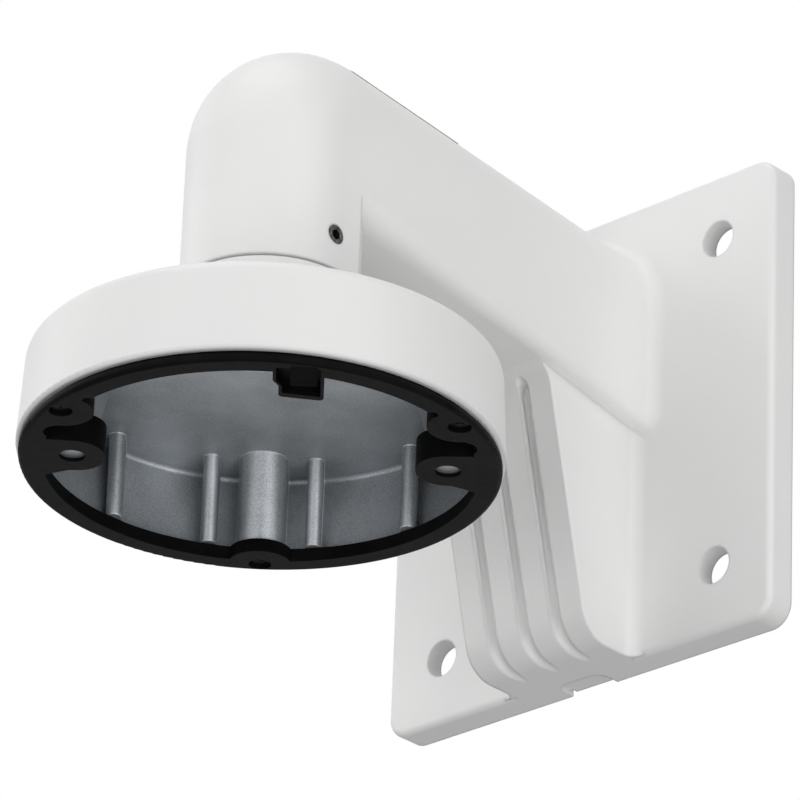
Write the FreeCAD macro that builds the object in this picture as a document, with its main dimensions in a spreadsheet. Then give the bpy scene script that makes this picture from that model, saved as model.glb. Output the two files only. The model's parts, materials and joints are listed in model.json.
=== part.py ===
import FreeCAD, Part
import math
import os

from FreeCAD import Placement, Rotation, Vector
import Sketcher

# Wall bracket for a mini dome camera, in millimetres.
# The origin is the centre of the wall plate's back face. +Z is up, the wall lies at +Y
# and the arm reaches into the room along -Y.

SIZES = {
    # wall plate
    "plate_width": 130.0,
    "plate_height": 130.0,
    "plate_thickness": 8.5,
    "plate_corner": 6.0,
    "plate_edge_round": 1.6,
    "plate_skin": 4.0,
    "plate_rim": 4.0,
    "hole_margin": 18.5,
    "wall_hole": 10.0,
    "wall_boss": 18.0,
    # arm, from the plate's front face to the bend above the hub
    "reach": 124.5,
    "root_radius": 25.0,
    "root_axis": 30.9,
    "root_floor": -1.4,
    "tip_axis": 44.4,
    "tip_floor": 18.4,
    "bend_radius": 8.2,
    "root_edge_round": 2.5,
    "tip_edge_round": 6.5,
    "root_blend": 4.0,
    "casting_wall": 4.0,
    # hub
    "hub_diameter": 45.0,
    "hub_bottom": -1.5,
    "screw_height": 8.0,
    "screw_boss_reach": 8.8,
    "screw_boss_sink": 0.2,
    "screw_hole": 5.2,
    "screw_diameter": 5.0,
    "screw_length": 4.0,
    "screw_socket": 2.5,
    # fluted body below the arm
    "belly_width": 39.5,
    "belly_top_reach": 42.2,
    "belly_foot_reach": 26.3,
    "belly_round": 10.0,
    "belly_top_blend": 8.0,
    "belly_top_bite": 0.05,
    "belly_blend": 4.0,
    "flute_radius": 1.8,
    "flute_sink": 0.5,
    "flute_pitch": 10.75,
    "flute_top": 2.0,
    "flute_lead": 5.0,
    "flute_top_round": 4.8,
    "flute_drop": 2.5,
    "flute_end": 13.0,
    # knock-out for a surface cable in the plate's lower edge
    "knockout_width": 15.0,
    "knockout_depth": 7.0,
    "knockout_corner": 3.5,
    "knockout_recess": 1.0,
    "knockout_web": 1.2,
    "knockout_nick": 1.2,
    # cup
    "clocking": 45.8,
    "cup_diameter": 120.0,
    "cup_top_diameter": 117.6,
    "cup_top": -21.8,
    "cup_edge_round": 3.0,
    "cup_rim": -46.4,
    "cup_wall": 3.0,
    "cup_ceiling": -25.7,
    "neck_gap": 0.7,
    "neck_fillet": 7.0,
    "neck_wall": 3.0,
    "spigot_length": 15.0,
    "thread_clearance": 0.3,
    "cable_edge": 6.0,
    # ribs and bosses in the cup
    "rib_width": 4.0,
    "rib_inner_offset": 13.2,
    "rib_inner_top": 41.0,
    "rib_inner_foot": 50.5,
    "rib_outer_offset": 36.8,
    "rib_outer_top": 31.0,
    "rib_outer_foot": 37.0,
    "boss_width": 12.4,
    "boss_top_reach": 38.0,
    "boss_foot_reach": 48.4,
    "ring_screw_circle": 110.6,
    "pilot_hole": 3.3,
    "pilot_depth": 9.0,
    "block_start": -5.5,
    "block_top_reach": 37.3,
    "block_foot_reach": 41.5,
    "pad_pin": 10.0,
    "wall_bite": 0.8,
    # ring
    "ring_diameter": 118.4,
    "ring_bore": 106.8,
    "ring_bottom": -49.4,
    "ring_top": -45.9,
    "ring_flange": 1.8,
    "ring_neck_diameter": 116.0,
    "ring_edge_round": 1.1,
    "fit_clearance": 0.3,
    "lobe_radius": 8.0,
    "counterbore": 5.8,
    "counterbore_depth": 2.7,
    "ring_screw_hole": 3.4,
    "tab_shift": 3.1,
    "tab_reach": 45.8,
    "tab_width": 16.0,
    "tab_nose": 7.8,
    "tab_flare": 4.0,
    "tab_top": -41.5,
    "tab_skin": 0.9,
    "tab_hole": 6.4,
    "slot_shift": 15.8,
    "slot_width": 7.5,
    "slot_nose": 3.7,
    "slot_end": 52.5,
    "notch_radius": 1.4,
    "notch_angle": 50.5,
    # catch on the ring's front
    "catch_shift": 9.7,
    "catch_width": 10.8,
    "catch_end": 40.4,
    "catch_end_slant": 1.5,
    "catch_corner": 1.2,
    "catch_step": 1.4,
    "catch_step_reach": 47.5,
    "catch_skin": 0.8,
    "catch_end_wall": 2.0,
    "catch_top": -44.4,
    "tongue_shift": 0.6,
    "tongue_width": 6.4,
    "tongue_root": 56.5,
    "tongue_end": 50.4,
    "tongue_drop": 2.0,
    "tongue_thickness": 1.3,
    # ring screws
    "ring_screw": 3.0,
    "ring_screw_head": 5.4,
    "ring_screw_head_height": 1.2,
    "ring_screw_length": 8.0,
    "ring_screw_cross": 0.8,
    "ring_screw_cross_length": 3.2,
    "ring_screw_cross_depth": 0.7,
    # how far a cut or a joined solid runs past the face that it meets
    "overlap": 1.0,
}

doc = FreeCAD.newDocument("wall_bracket")
sheet = doc.addObject("Spreadsheet::Sheet", "Sizes")
for row, (alias, size) in enumerate(SIZES.items(), start=1):
    sheet.set(f"A{row}", alias.replace("_", " "))
    sheet.set(f"B{row}", str(size))
    sheet.setAlias(f"B{row}", alias)
doc.recompute()


def formula(text):
    """A formula in the sheet's aliases, with each alias written as the sheet wants it."""
    words = ""
    name = ""
    for letter in text + " ":
        if letter.isalpha() or letter == "_" or (name and letter.isdigit()):
            name += letter
            continue
        words += ("Sizes." + name) if name in SIZES else name
        name = ""
        words += letter
    return words.strip()


def value(text):
    """The number that a formula gives now."""
    result = sheet.evalExpression(formula(text))
    return float(getattr(result, "Value", result))


def bind(thing, field, text):
    """Ties a property of a feature to a formula."""
    thing.setExpression(field, formula(text))


# Boxes of edges are compared with this margin, in millimetres.
SMALL = 0.01
# A feature that changes less than this, in cubic millimetres, has missed the solid.
LEAST_CHANGE = 1.0

# Formulas that several features share.
ARM_LEAN = "(tip_floor - root_floor) / (reach - bend_radius - plate_thickness)"
BELLY_LEAN = "(belly_top_reach - belly_foot_reach) / (plate_height / 2)"
BELLY_TOP = (
    f"((root_floor + belly_top_bite + ({ARM_LEAN}) * (belly_top_reach - plate_thickness))"
    f" / (1 - ({ARM_LEAN}) * ({BELLY_LEAN})))"
)
TILT = "atan((tip_axis - root_axis) / (reach - bend_radius - plate_thickness))"
BEND_HEIGHT = f"(tip_axis - bend_radius * cos({TILT}))"
HOLE_X = "(plate_width / 2 - hole_margin)"
HOLE_Z = "(plate_height / 2 - hole_margin)"
HUB_BORE = "(hub_diameter / 2 - casting_wall)"
SPIGOT_BORE = "(hub_diameter / 2 - casting_wall - thread_clearance - neck_wall)"
CUP_INSIDE = "(cup_diameter / 2 - cup_wall)"
RIB_FOOT = "(ring_top + fit_clearance)"
SCREW_SEAT = "(ring_bottom + counterbore_depth)"


def new_body(name):
    body = doc.addObject("PartDesign::Body", name)
    body.Label = name
    return body


def origin_part(body, role):
    for feature in body.Origin.OriginFeatures:
        if feature.Role == role:
            return feature
    raise ValueError(role)


def new_sketch(body, name, plane, shift=("0", "0", "0"), tilt=None, spin=0):
    """A sketch on one of the body's own planes, moved in the plane's axes.

    It is tilted about its x axis by a formula, or spun about its z axis by some degrees.
    """
    sketch = body.newObject("Sketcher::SketchObject", name)
    sketch.AttachmentSupport = [(origin_part(body, plane), "")]
    sketch.MapMode = "FlatFace"
    angle = value(tilt) if tilt else 0.0
    base = Vector(value(shift[0]), value(shift[1]), value(shift[2]))
    turned = Rotation(Vector(0, 0, 1), spin) * Rotation(Vector(1, 0, 0), angle)
    sketch.AttachmentOffset = Placement(base, turned)
    for axis, text in zip("xyz", shift):
        bind(sketch, f"AttachmentOffset.Base.{axis}", text)
    if tilt:
        bind(sketch, "AttachmentOffset.Rotation.Angle", tilt)
    return sketch


def fix_point(sketch, geometry, position, x, y):
    """Puts a point of the sketch at formulas for x and y."""
    for kind, axis, text in (("DistanceX", -2, x), ("DistanceY", -1, y)):
        size = value(text)
        if abs(size) < 1e-9:
            sketch.addConstraint(Sketcher.Constraint("PointOnObject", geometry, position, axis))
            continue
        constraint = Sketcher.Constraint(kind, -1, 1, geometry, position, size)
        number = sketch.addConstraint(constraint)
        bind(sketch, f"Constraints[{number}]", text)


def fix_radius(sketch, geometry, text):
    number = sketch.addConstraint(Sketcher.Constraint("Radius", geometry, value(text)))
    bind(sketch, f"Constraints[{number}]", text)


def draw_circle(sketch, x, y, radius):
    circle = Part.Circle(Vector(value(x), value(y), 0), Vector(0, 0, 1), value(radius))
    number = sketch.addGeometry(circle, False)
    fix_point(sketch, number, 3, x, y)
    fix_radius(sketch, number, radius)


def draw_outline(sketch, corners):
    """A closed outline through corners (x, y) or (x, y, radius), rounded where a radius is given."""
    points = [Vector(value(c[0]), value(c[1]), 0) for c in corners]
    rounds = [c[2] if len(c) > 2 else None for c in corners]
    count = len(points)
    starts = []
    ends = []
    arcs = []
    for i, point in enumerate(points):
        before = (points[i - 1] - point).normalize()
        after = (points[(i + 1) % count] - point).normalize()
        if rounds[i] is None:
            ends.append(point)
            starts.append(point)
            arcs.append(None)
            continue
        radius = value(rounds[i])
        half = before.getAngle(after) / 2
        set_back = radius / math.tan(half)
        ends.append(point + before * set_back)
        starts.append(point + after * set_back)
        middle = point + (before + after).normalize() * (radius / math.sin(half))
        top = middle + (point - middle).normalize() * radius
        arcs.append(Part.Arc(ends[-1], top, starts[-1]))
    lines = [
        sketch.addGeometry(Part.LineSegment(starts[i], ends[(i + 1) % count]), False)
        for i in range(count)
    ]
    for i, arc in enumerate(arcs):
        line_in = lines[i - 1]
        line_out = lines[i]
        if arc is None:
            sketch.addConstraint(Sketcher.Constraint("Coincident", line_in, 2, line_out, 1))
            fix_point(sketch, line_out, 1, corners[i][0], corners[i][1])
            continue
        number = sketch.addGeometry(arc, False)
        near_start = sketch.getPoint(number, 1).distanceToPoint(ends[i]) < 1e-6
        arc_in, arc_out = (1, 2) if near_start else (2, 1)
        sketch.addConstraint(Sketcher.Constraint("Tangent", line_in, 2, number, arc_in))
        sketch.addConstraint(Sketcher.Constraint("Tangent", line_out, 1, number, arc_out))
        fix_radius(sketch, number, rounds[i])
        corner = sketch.addGeometry(Part.Point(points[i]), True)
        sketch.addConstraint(Sketcher.Constraint("PointOnObject", corner, 1, line_in))
        sketch.addConstraint(Sketcher.Constraint("PointOnObject", corner, 1, line_out))
        fix_point(sketch, corner, 1, corners[i][0], corners[i][1])


def draw_arch(sketch, radius, axis, floor, corner=None):
    """A round top of the given radius about (0, axis), straight sides and a flat floor.

    The floor's corners are rounded where a corner radius is given.
    """
    middle = Vector(0, value(axis), 0)
    size = value(radius)
    bottom = value(floor)
    turn_in = value(corner) if corner else 0.0
    top = Part.ArcOfCircle(Part.Circle(middle, Vector(0, 0, 1), size), 0, math.pi)
    arc = sketch.addGeometry(top, False)
    left = sketch.addGeometry(
        Part.LineSegment(Vector(-size, middle.y, 0), Vector(-size, bottom + turn_in, 0)), False
    )
    low = sketch.addGeometry(
        Part.LineSegment(Vector(turn_in - size, bottom, 0), Vector(size - turn_in, bottom, 0)), False
    )
    right = sketch.addGeometry(
        Part.LineSegment(Vector(size, bottom + turn_in, 0), Vector(size, middle.y, 0)), False
    )
    sketch.addConstraint(Sketcher.Constraint("Tangent", arc, 2, left, 1))
    sketch.addConstraint(Sketcher.Constraint("Tangent", right, 2, arc, 1))
    sketch.addConstraint(Sketcher.Constraint("Vertical", left))
    sketch.addConstraint(Sketcher.Constraint("Horizontal", low))
    if corner is None:
        sketch.addConstraint(Sketcher.Constraint("Coincident", left, 2, low, 1))
        sketch.addConstraint(Sketcher.Constraint("Coincident", low, 2, right, 1))
    else:
        for line_in, line_out, side in ((left, low, -1), (low, right, 1)):
            centre = Vector(side * (size - turn_in), bottom + turn_in, 0)
            start = (1.25 + 0.25 * side) * math.pi
            circle = Part.Circle(centre, Vector(0, 0, 1), turn_in)
            number = sketch.addGeometry(Part.ArcOfCircle(circle, start, start + math.pi / 2), False)
            sketch.addConstraint(Sketcher.Constraint("Tangent", line_in, 2, number, 1))
            sketch.addConstraint(Sketcher.Constraint("Tangent", number, 2, line_out, 1))
            fix_radius(sketch, number, corner)
    fix_point(sketch, arc, 3, "0", axis)
    fix_radius(sketch, arc, radius)
    number = sketch.addConstraint(Sketcher.Constraint("DistanceY", -1, 1, low, 1, bottom))
    bind(sketch, f"Constraints[{number}]", floor)


def extrude(body, kind, sketch, length, flip=False, middle=False):
    """A Pad or Pocket of a sketch, with its volume compared to see that it did something."""
    before = volume_of(body)
    feature = body.newObject("PartDesign::" + kind, sketch.Name + "_" + kind.lower())
    feature.Profile = sketch
    bind(feature, "Length", length)
    feature.Reversed = flip
    feature.Midplane = middle
    return finish_feature(body, feature, sketch, before, kind == "Pad")


def volume_of(body):
    return body.Shape.Volume if body.Tip else 0.0


def finish_feature(body, feature, sketch, before, adds):
    sketch.Visibility = False
    doc.recompute()
    body.Tip = feature
    doc.recompute()
    after = body.Shape.Volume
    gain = after - before if adds else before - after
    if gain < LEAST_CHANGE:
        raise RuntimeError(f"{feature.Name} misses the solid: {before:.1f} to {after:.1f}")
    return feature


def turn(body, kind, sketch, axis, angle, flip=False):
    """A Revolution or Groove of a sketch about one of its own axes."""
    before = volume_of(body)
    feature = body.newObject("PartDesign::" + kind, sketch.Name + "_" + kind.lower())
    feature.Profile = sketch
    feature.ReferenceAxis = (sketch, [axis])
    bind(feature, "Angle", angle)
    feature.Reversed = flip
    return finish_feature(body, feature, sketch, before, kind == "Revolution")


def loft(body, kind, *sections):
    """An AdditiveLoft or SubtractiveLoft through sketches, straight from each to the next."""
    before = volume_of(body)
    feature = body.newObject("PartDesign::" + kind, sections[0].Name + "_loft")
    feature.Profile = sections[0]
    feature.Sections = list(sections[1:])
    feature.Ruled = True
    for sketch in sections:
        sketch.Visibility = False
    return finish_feature(body, feature, sections[0], before, kind == "AdditiveLoft")


def round_edges(body, name, radius, test):
    """A Fillet on the edges whose box passes the test."""
    base = body.Tip
    names = [
        f"Edge{number}" for number, edge in enumerate(base.Shape.Edges, start=1)
        if test(edge.BoundBox)
    ]
    feature = body.newObject("PartDesign::Fillet", name)
    feature.Base = (base, names)
    bind(feature, "Radius", radius)
    doc.recompute()
    if "Invalid" in feature.State or not feature.Shape.isValid():
        raise RuntimeError(f"{name} can't be made on {names}")
    body.Tip = feature
    doc.recompute()
    return feature


def repeat_round(body, feature, count):
    """The feature again, evenly round the body's Z axis."""
    pattern = body.newObject("PartDesign::PolarPattern", feature.Name + "_round")
    pattern.Originals = [feature]
    pattern.Axis = (origin_part(body, "Z_Axis"), [""])
    pattern.Angle = 360
    pattern.Occurrences = count
    doc.recompute()
    body.Tip = pattern
    doc.recompute()
    return pattern


# Wall plate, arm, hub and fluted body: one aluminium casting, hollow from the back
# for the cable.
def make_plate(body):
    plate = new_sketch(body, "plate_outline", "XZ_Plane")
    half_x = "plate_width / 2"
    half_z = "plate_height / 2"
    draw_outline(plate, [
        (half_x, half_z, "plate_corner"),
        ("-" + half_x, half_z, "plate_corner"),
        ("-" + half_x, "-" + half_z, "plate_corner"),
        (half_x, "-" + half_z, "plate_corner"),
    ])
    extrude(body, "Pad", plate, "plate_thickness")
    front = -value("plate_thickness") + SMALL
    round_edges(body, "plate_front_round", "plate_edge_round", lambda box: box.YMax < front)


def make_arm(body):
    start = new_sketch(body, "arm_start", "XZ_Plane", ("0", "0", "reach"))
    draw_arch(
        start, "hub_diameter / 2", BEND_HEIGHT, f"tip_floor + ({ARM_LEAN}) * bend_radius",
        "tip_edge_round"
    )
    tip = new_sketch(
        body, "arm_tip", "XZ_Plane",
        ("0", BEND_HEIGHT, "reach - bend_radius"), f"-{TILT}"
    )
    draw_arch(
        tip, "hub_diameter / 2", "bend_radius",
        f"(tip_floor - {BEND_HEIGHT}) / cos({TILT})", "tip_edge_round"
    )
    root = new_sketch(body, "arm_root", "XZ_Plane", ("0", "0", "plate_thickness"))
    draw_arch(root, "root_radius", "root_axis", "root_floor", "root_edge_round")
    loft(body, "AdditiveLoft", start, tip, root)
    front = -value("plate_thickness")
    side = value("root_radius") + SMALL
    round_edges(
        body, "root_blend", "root_blend",
        lambda box: abs(box.YMax - front) < SMALL and abs(box.YMin - front) < SMALL
        and box.XMax < side and box.XMin > -side
    )


def draw_segment(sketch, centre, radius):
    """The part below the sketch's x axis of a circle whose centre is at (0, centre)."""
    size = value(radius)
    offset = value(centre)
    middle = Vector(0, offset, 0)
    start = math.asin(offset / size)
    circle = Part.Circle(middle, Vector(0, 0, 1), size)
    arc = sketch.addGeometry(Part.ArcOfCircle(circle, math.pi + start, 2 * math.pi - start), False)
    reach = math.sqrt(size ** 2 - offset ** 2)
    line = sketch.addGeometry(Part.LineSegment(Vector(reach, 0, 0), Vector(-reach, 0, 0)), False)
    sketch.addConstraint(Sketcher.Constraint("Coincident", arc, 2, line, 1))
    sketch.addConstraint(Sketcher.Constraint("Coincident", line, 2, arc, 1))
    sketch.addConstraint(Sketcher.Constraint("PointOnObject", line, 1, -1))
    sketch.addConstraint(Sketcher.Constraint("PointOnObject", line, 2, -1))
    fix_point(sketch, arc, 3, "0", centre)
    fix_radius(sketch, arc, radius)


def make_hub(body):
    bend = new_sketch(
        body, "hub_bend", "XY_Plane", ("0", "bend_radius - reach", BEND_HEIGHT)
    )
    draw_segment(bend, "-bend_radius", "hub_diameter / 2")
    turn(body, "Revolution", bend, "H_Axis", f"90 deg + {TILT}", flip=True)
    hub = new_sketch(body, "hub_outline", "XY_Plane", ("0", "0", "hub_bottom"))
    draw_circle(hub, "0", "-reach", "hub_diameter / 2")
    extrude(body, "Pad", hub, f"{BEND_HEIGHT} - hub_bottom")


def make_screw_boss(body):
    """A flat pad in line with the arm's side, for the set screw."""
    boss = new_sketch(
        body, "screw_boss", "YZ_Plane", ("0", "0", "hub_diameter / 2 - screw_boss_sink")
    )
    draw_outline(boss, [
        ("-reach", "hub_bottom"),
        ("screw_boss_reach - reach", "hub_bottom"),
        ("screw_boss_reach - reach", "tip_floor + tip_edge_round"),
        ("-reach", "tip_floor + tip_edge_round"),
    ])
    extrude(body, "Pad", boss, "casting_wall * 3 / 4", flip=True)


def belly_front(height):
    """How far the fluted body's front line is from the wall, at a height."""
    return f"-(belly_top_reach + ({BELLY_LEAN}) * ({height}))"


def arm_floor(distance):
    """The height of the arm's underside, at a place along Y."""
    return f"(root_floor - ({ARM_LEAN}) * ({distance} + plate_thickness))"


def make_belly(body):
    belly = new_sketch(body, "belly_side", "YZ_Plane")
    half_wall = "casting_wall / 2"
    back = "-plate_thickness / 2"
    far = f"({belly_front(BELLY_TOP)} - belly_top_blend)"
    draw_outline(belly, [
        (back, f"root_floor + {half_wall}"),
        (far, f"{arm_floor(far)} + {half_wall}"),
        (far, f"{arm_floor(far)} + belly_top_bite"),
        (belly_front(BELLY_TOP), BELLY_TOP, "belly_top_blend"),
        ("-belly_foot_reach", "-plate_height / 2", "belly_round"),
        (back, "-plate_height / 2"),
    ])
    extrude(body, "Pad", belly, "belly_width", middle=True)


def make_belly_blend(body):
    """The hollow curve between the fluted body's sides and the plate."""
    blend = new_sketch(body, "belly_blend", "XY_Plane", ("0", "0", "-plate_height / 2"))
    front = "-plate_thickness"
    for side in ("", "-"):
        inner = f"{side}belly_width / 2"
        outer = f"{side}(belly_width / 2 + belly_blend)"
        middle = Vector(value(outer), value(front + " - belly_blend"), 0)
        x = value(inner)
        y = value(front)
        low = blend.addGeometry(
            Part.LineSegment(Vector(x, y, 0), Vector(middle.x, y, 0)), False
        )
        along = Vector(x, middle.y, 0)
        rise = blend.addGeometry(Part.LineSegment(along, Vector(x, y, 0)), False)
        radius = value("belly_blend")
        turned = math.pi if side == "" else 0.0
        quarter = sorted((turned, math.pi / 2))
        circle = Part.Circle(middle, Vector(0, 0, 1), radius)
        arc = blend.addGeometry(Part.ArcOfCircle(circle, quarter[0], quarter[1]), False)
        ends = (2, 1) if side == "" else (1, 2)
        blend.addConstraint(Sketcher.Constraint("Coincident", rise, 2, low, 1))
        blend.addConstraint(Sketcher.Constraint("Tangent", arc, ends[0], rise, 1))
        blend.addConstraint(Sketcher.Constraint("Tangent", arc, ends[1], low, 2))
        fix_point(blend, low, 1, inner, front)
        fix_radius(blend, arc, "belly_blend")
    extrude(body, "Pad", blend, "plate_height / 2 + root_floor + root_edge_round")


def make_hollow(body):
    tip = new_sketch(
        body, "channel_tip", "XZ_Plane",
        ("0", BEND_HEIGHT, "reach - bend_radius"), f"-{TILT}"
    )
    draw_arch(
        tip, HUB_BORE, "bend_radius",
        f"(tip_floor + casting_wall - {BEND_HEIGHT}) / cos({TILT})"
    )
    root = new_sketch(body, "channel_root", "XZ_Plane")
    draw_arch(root, "root_radius - casting_wall", "root_axis", "root_floor + casting_wall")
    loft(body, "SubtractiveLoft", tip, root)
    bend = new_sketch(
        body, "bend_hollow", "XY_Plane", ("0", "bend_radius - reach", BEND_HEIGHT)
    )
    draw_segment(bend, "-bend_radius", HUB_BORE)
    turn(body, "Groove", bend, "H_Axis", f"90 deg + {TILT}", flip=True)
    bore = new_sketch(body, "hub_bore", "XY_Plane", ("0", "0", "hub_bottom"))
    draw_circle(bore, "0", "-reach", HUB_BORE)
    extrude(body, "Pocket", bore, f"{BEND_HEIGHT} - hub_bottom", flip=True)


def make_belly_hollow(body):
    hollow = new_sketch(body, "belly_hollow", "YZ_Plane")
    top = f"({BELLY_TOP} + casting_wall + overlap)"
    foot = "(casting_wall - plate_height / 2)"
    side = f"casting_wall * sqrt(1 + ({BELLY_LEAN}) ^ 2)"
    draw_outline(hollow, [
        ("0", top),
        (f"{belly_front(top)} + {side}", top),
        (f"{belly_front(foot)} + {side}", foot, "belly_round - casting_wall"),
        ("0", foot),
    ])
    extrude(body, "Pocket", hollow, "belly_width - 2 * casting_wall", middle=True)


def make_plate_back(body):
    recess = new_sketch(body, "plate_recess", "XZ_Plane")
    half_x = "(plate_width / 2 - plate_rim)"
    half_z = "(plate_height / 2 - plate_rim)"
    corner = "plate_corner / 2"
    draw_outline(recess, [
        (half_x, half_z, corner),
        ("-" + half_x, half_z, corner),
        ("-" + half_x, "-" + half_z, corner),
        (half_x, "-" + half_z, corner),
    ])
    for side in ("", "-"):
        for end in ("", "-"):
            draw_circle(recess, side + HOLE_X, end + HOLE_Z, "wall_boss / 2")
    extrude(body, "Pocket", recess, "plate_thickness - plate_skin", flip=True)
    holes = new_sketch(body, "wall_holes", "XZ_Plane")
    for side in ("", "-"):
        for end in ("", "-"):
            draw_circle(holes, side + HOLE_X, end + HOLE_Z, "wall_hole / 2")
    extrude(body, "Pocket", holes, "plate_thickness + overlap", flip=True)


def knockout_corners(grow):
    half = f"(knockout_width / 2 + {grow})"
    return [
        (half, "0"),
        (half, "-knockout_depth", "knockout_corner"),
        ("-" + half, "-knockout_depth", "knockout_corner"),
        ("-" + half, "0"),
    ]


def make_knockout(body):
    foot = "-plate_height / 2"
    outer = new_sketch(body, "knockout_outside", "XY_Plane", ("0", "0", foot))
    draw_outline(outer, knockout_corners("0"))
    extrude(body, "Pocket", outer, "knockout_recess", flip=True)
    level = f"{foot} + knockout_recess + knockout_web"
    inner = new_sketch(body, "knockout_inside", "XY_Plane", ("0", "0", level))
    draw_outline(inner, knockout_corners("0"))
    extrude(body, "Pocket", inner, "casting_wall - knockout_recess - knockout_web", flip=True)
    nicks = new_sketch(body, "knockout_nicks", "XY_Plane", ("0", "0", foot))
    for side in ("", "-"):
        outside = f"{side}knockout_width / 2"
        inside = f"{side}(knockout_width / 2 - knockout_nick)"
        draw_outline(nicks, [
            (outside, "0"),
            (outside, "-1.5 * knockout_nick"),
            (inside, "-1.5 * knockout_nick"),
            (inside, "0"),
        ])
    extrude(body, "Pocket", nicks, "casting_wall", flip=True)


def draw_path(sketch, corners):
    """An open path through corners (x, y) or (x, y, radius), rounded where a radius is given."""
    points = [Vector(value(c[0]), value(c[1]), 0) for c in corners]
    last = len(points) - 1
    ends = [points[0]]
    starts = [points[0]]
    tops = [None]
    for i in range(1, last):
        point = points[i]
        before = (points[i - 1] - point).normalize()
        after = (points[i + 1] - point).normalize()
        radius = value(corners[i][2])
        half = before.getAngle(after) / 2
        set_back = radius / math.tan(half)
        middle = point + (before + after).normalize() * (radius / math.sin(half))
        ends.append(point + before * set_back)
        starts.append(point + after * set_back)
        tops.append(middle + (point - middle).normalize() * radius)
    ends.append(points[last])
    lines = []
    arcs = [None]
    for i in range(last):
        lines.append(sketch.addGeometry(Part.LineSegment(starts[i], ends[i + 1]), False))
        if i + 1 < last:
            bend = Part.Arc(ends[i + 1], tops[i + 1], starts[i + 1])
            arcs.append(sketch.addGeometry(bend, False))
    for i in range(1, last):
        arc = arcs[i]
        near_start = sketch.getPoint(arc, 1).distanceToPoint(ends[i]) < SMALL
        arc_in, arc_out = (1, 2) if near_start else (2, 1)
        sketch.addConstraint(Sketcher.Constraint("Tangent", lines[i - 1], 2, arc, arc_in))
        sketch.addConstraint(Sketcher.Constraint("Tangent", lines[i], 1, arc, arc_out))
        fix_radius(sketch, arc, corners[i][2])
        corner = sketch.addGeometry(Part.Point(points[i]), True)
        sketch.addConstraint(Sketcher.Constraint("PointOnObject", corner, 1, lines[i - 1]))
        sketch.addConstraint(Sketcher.Constraint("PointOnObject", corner, 1, lines[i]))
        fix_point(sketch, corner, 1, corners[i][0], corners[i][1])
    fix_point(sketch, lines[0], 1, corners[0][0], corners[0][1])
    fix_point(sketch, lines[-1], 2, corners[last][0], corners[last][1])


def make_flutes(body):
    """Three round-bottomed grooves that run out into the air at both ends."""
    path = new_sketch(body, "flute_path", "YZ_Plane", ("0", "0", "-flute_pitch"))
    foot = "-plate_height / 2"
    first = f"{belly_front('flute_top')} - flute_lead"
    draw_path(path, [
        (first, "flute_top"),
        (belly_front("flute_top"), "flute_top", "flute_top_round"),
        ("-belly_foot_reach", foot, "belly_round"),
        ("-flute_end", f"{foot} - flute_drop"),
    ])
    section = new_sketch(
        body, "flute_section", "XZ_Plane", ("-flute_pitch", "flute_top", f"-({first})")
    )
    draw_circle(section, "0", "flute_sink", "flute_radius")
    before = volume_of(body)
    flute = body.newObject("PartDesign::SubtractivePipe", "flute")
    flute.Profile = section
    flute.Spine = (path, [])
    path.Visibility = False
    finish_feature(body, flute, section, before, False)
    pattern = body.newObject("PartDesign::LinearPattern", "flutes")
    pattern.Originals = [flute]
    pattern.Direction = (origin_part(body, "X_Axis"), [""])
    bind(pattern, "Length", "2 * flute_pitch")
    pattern.Occurrences = 3
    doc.recompute()
    body.Tip = pattern


def make_screw_hole(body):
    hole = new_sketch(
        body, "screw_hole_outline", "YZ_Plane", ("0", "0", "hub_diameter / 2 + overlap")
    )
    draw_circle(hole, "-reach", "screw_height", "screw_hole / 2")
    extrude(body, "Pocket", hole, "casting_wall + 2 * overlap")


def make_casting():
    body = new_body("arm_casting")
    make_plate(body)
    make_arm(body)
    make_hub(body)
    make_hollow(body)
    make_screw_boss(body)
    make_belly(body)
    make_belly_hollow(body)
    make_belly_blend(body)
    make_flutes(body)
    make_plate_back(body)
    make_knockout(body)
    make_screw_hole(body)
    return body


# The cup and the ring share a frame on the cup's axis, turned so that its x axis points
# to the ring's catch.
def place_on_cup_axis(body):
    body.Placement = Placement(
        Vector(0, -value("reach"), 0), Rotation(Vector(0, 0, 1), -value("clocking"))
    )
    bind(body, "Placement.Base.y", "-reach")
    bind(body, "Placement.Rotation.Angle", "-clocking")


def make_cup_shell(body):
    profile = new_sketch(body, "cup_profile", "XZ_Plane")
    neck_top = "hub_bottom - neck_gap"
    neck = "hub_diameter / 2"
    spigot = f"{HUB_BORE} - thread_clearance"
    draw_outline(profile, [
        (CUP_INSIDE, "cup_rim"),
        ("cup_diameter / 2", "cup_rim", "cup_wall / 3"),
        ("cup_top_diameter / 2", "cup_top", "cup_edge_round"),
        (neck, "cup_top", "neck_fillet"),
        (neck, neck_top),
        (spigot, neck_top),
        (spigot, f"{neck_top} + spigot_length"),
        (SPIGOT_BORE, f"{neck_top} + spigot_length"),
        (SPIGOT_BORE, "cup_top"),
        ("0", "cup_top"),
        ("0", "cup_ceiling"),
        ("cup_top_diameter / 2 - cup_wall", "cup_ceiling", "cup_edge_round / 2"),
    ])
    turn(body, "Revolution", profile, "V_Axis", "360 deg")


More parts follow.
